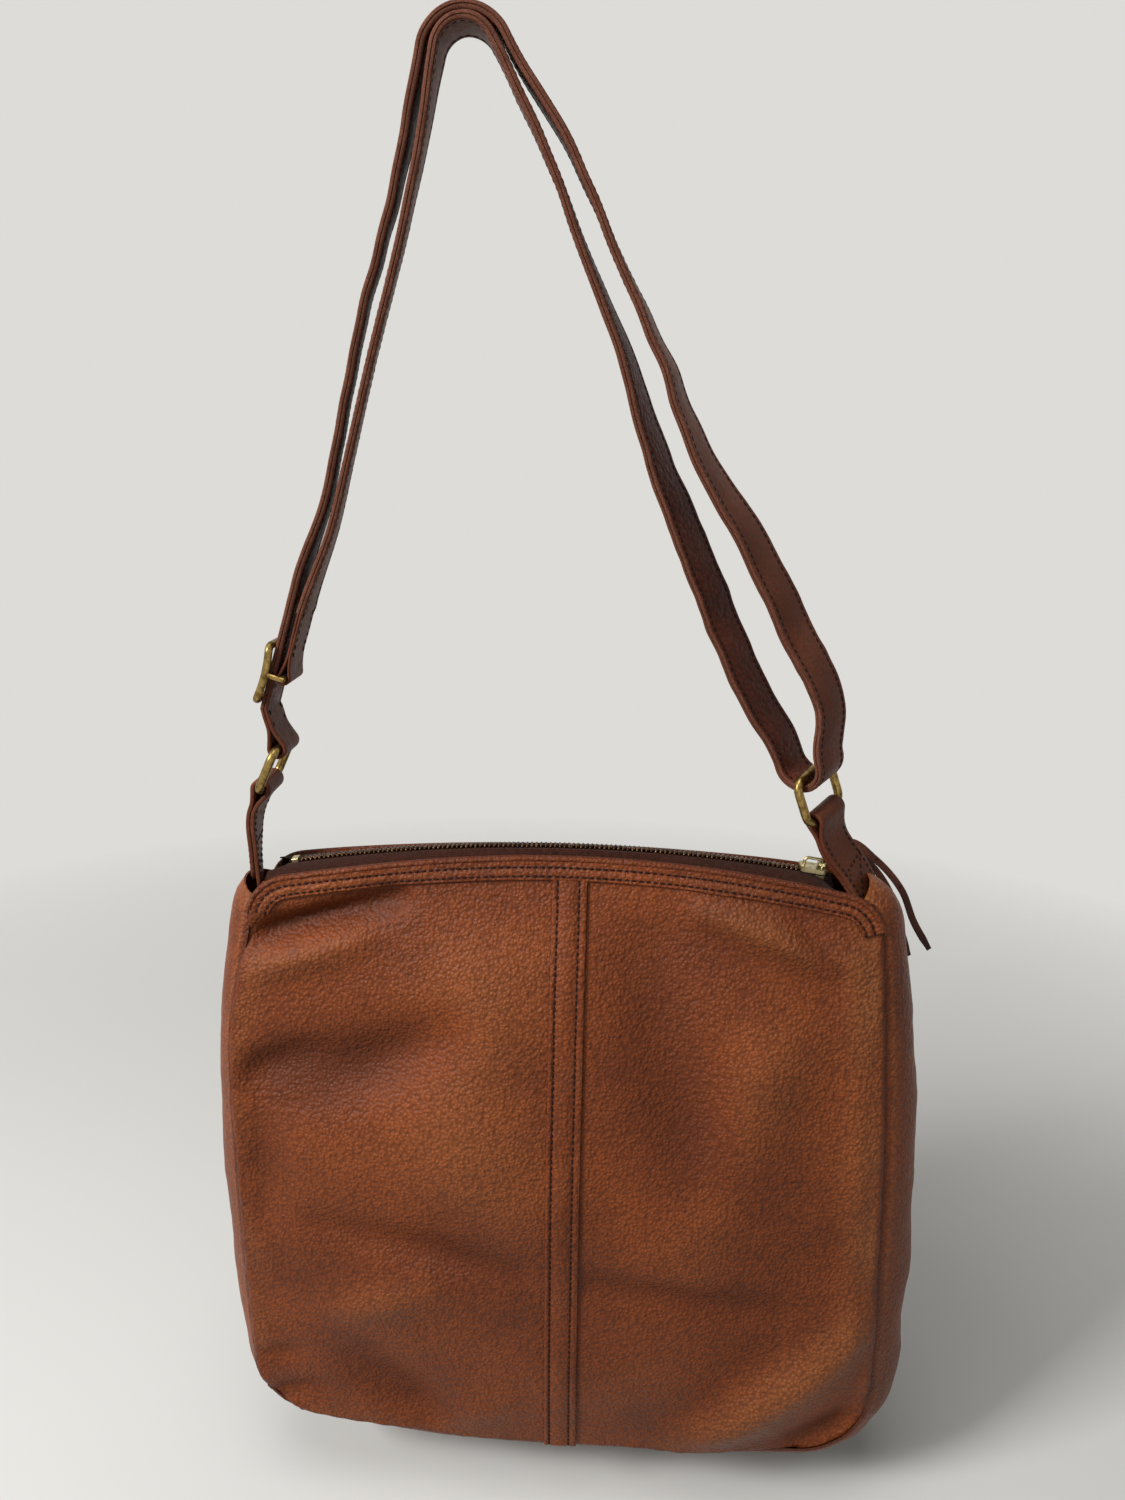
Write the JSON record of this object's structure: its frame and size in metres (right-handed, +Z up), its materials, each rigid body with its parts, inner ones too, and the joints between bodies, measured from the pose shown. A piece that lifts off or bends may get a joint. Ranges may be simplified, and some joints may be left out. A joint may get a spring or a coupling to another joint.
{
  "type": "messenger bag",
  "caption": "Crossbody messenger bag of soft leather with an arched zip, a centre seam strip, wire rings and a long adjustable strap hung over a hook.",
  "frame": {"origin": "the point where the underside of the strap's bend rests on the hook", "axes": "+Z up, +X to the bag's right-hand end seen from the front, +Y from the front to the back"},
  "size_m": [0.3374, 0.0788, 0.6579],
  "materials": {
    "body_leather": "soft pebbled tan-brown leather",
    "strap_leather": "satin dark brown leather",
    "lace_leather": "matt very dark brown leather",
    "zip_tape": "woven dark brown tape",
    "lining_cloth": "plain woven cotton",
    "antique_brass": "antiqued satin brass"
  },
  "bodies": {
    "strap": {"strap": "strap_leather", "strap_slack_run": "strap_leather"},
    "adjuster": {"strap_adjuster": "antique_brass", "strap_end_on_adjuster": "strap_leather"},
    "ring_left": {"ring_left": "antique_brass"},
    "bag": {"back_panel": "body_leather", "gusset": "body_leather", "back_top_band": "body_leather", "zip_tape_back": "zip_tape", "zip_teeth_back": "antique_brass", "zip_bottom_stop": "antique_brass", "tab_left": "strap_leather", "tab_right": "strap_leather", "lining_back": "lining_cloth", "lining_gusset": "lining_cloth", "inner_pocket": "lining_cloth"},
    "bag_front": {"front_panel_left": "body_leather", "front_panel_right": "body_leather", "front_centre_strip": "body_leather", "front_top_band": "body_leather", "zip_tape_front": "zip_tape", "zip_teeth_front": "antique_brass", "lining_front": "lining_cloth"},
    "ring_right": {"ring_right": "antique_brass"},
    "zip_slider": {"zip_slider": "antique_brass"},
    "zip_pull": {"zip_puller": "antique_brass", "zip_pull_thongs": "lace_leather"}
  },
  "joints": [
    {"name": "ring_left_swing", "type": "hinge", "parent": "strap", "child": "ring_left", "pos_m": [-0.08597, 0, -0.27985], "axis": [0, 1, 0], "range_deg": [-4, 4]},
    {"name": "bag_swing", "type": "hinge", "parent": "ring_left", "child": "bag", "pos_m": [-0.0945, 0, -0.2986], "axis": [0, 1, 0], "range_deg": [-4, 4]},
    {"name": "ring_right_swing", "type": "hinge", "parent": "bag", "child": "ring_right", "pos_m": [0.1557, 0, -0.3046], "axis": [0, 1, 0], "range_deg": [-4, 4]},
    {"name": "adjuster_slide", "type": "slide", "parent": "strap", "child": "adjuster", "axis": [0.2924, 0, 0.9563], "range_m": [0, 0.02], "deforming": ["strap_slack_run"]},
    {"name": "mouth_open", "type": "hinge", "parent": "bag", "child": "bag_front", "pos_m": [0.044, -0.027, -0.636], "axis": [1, 0, 0], "range_deg": [0, 7], "deforming": ["zip_tape_front", "zip_teeth_front", "zip_teeth_back"]},
    {"name": "zip_travel", "type": "hinge", "parent": "bag", "child": "zip_slider", "pos_m": [0.044, 0, -1.044], "axis": [0, 1, 0], "range_deg": [-18.08, 0]},
    {"name": "pull_swing", "type": "hinge", "parent": "zip_slider", "child": "zip_pull", "pos_m": [0.15679, 0, -0.32857], "axis": [0.15, 0, 0.9887], "range_deg": [0, 60], "deforming": ["zip_pull_thongs"]}
  ],
  "couplings": [
    {"joint": "bag_swing", "follows": "ring_left_swing", "ratio": -0.93844},
    {"joint": "ring_right_swing", "follows": "ring_left_swing", "ratio": 0.92488},
    {"joint": "zip_travel", "follows": "mouth_open", "ratio": -2.58}
  ]
}
